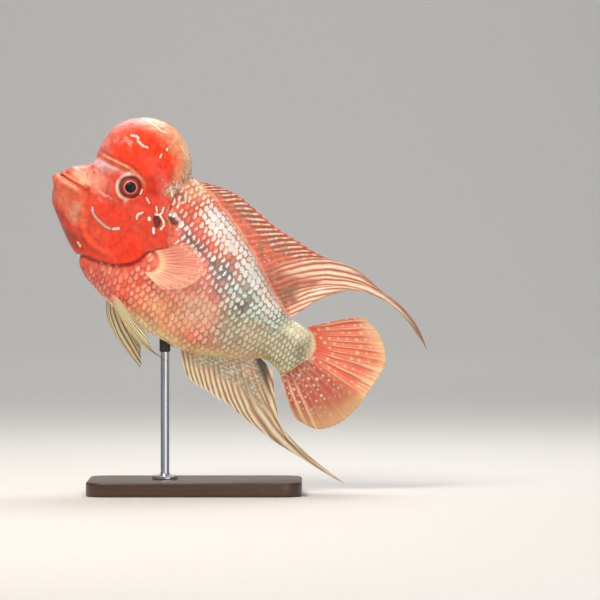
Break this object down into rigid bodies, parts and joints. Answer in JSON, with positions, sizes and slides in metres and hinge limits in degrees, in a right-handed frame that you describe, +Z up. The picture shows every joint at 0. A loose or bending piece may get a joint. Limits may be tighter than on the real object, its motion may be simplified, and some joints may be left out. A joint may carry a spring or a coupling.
{
  "type": "flowerhorn cichlid model",
  "caption": "Life-size still model of a swimming flowerhorn cichlid with a domed forehead and long trailing fins, held nose up by a slim rod on a flat base.",
  "frame": {"origin": "middle of the flat underside of the stand's base", "axes": "+Z up; the fish's snout points towards -X with the nose raised 33 degrees, and its left side faces -Y"},
  "size_m": [0.2616, 0.092, 0.2638],
  "materials": {
    "skin": "wet-looking scaled skin, red head and pale pearled flanks",
    "fins": "red membranes with cream rays",
    "eye": "glossy black pupil in a red iris",
    "stand_wood": "dark stained, satin",
    "stand_steel": "brushed"
  },
  "bodies": {
    "root": {"head": "skin", "nuchal_hump": "skin", "lower_jaw": "skin", "gill_cover_left": "skin", "gill_cover_right": "skin", "torso": "skin", "tail_root": "skin", "eye_left": "eye", "eye_right": "eye", "dorsal_fin": "fins", "anal_fin": "fins", "caudal_fin": "fins", "pectoral_fin_left": "fins", "pectoral_fin_right": "fins", "pelvic_fin_left": "fins", "pelvic_fin_right": "fins", "stand_base": "stand_wood", "stand_rod": "stand_steel"}
  },
  "joints": []
}
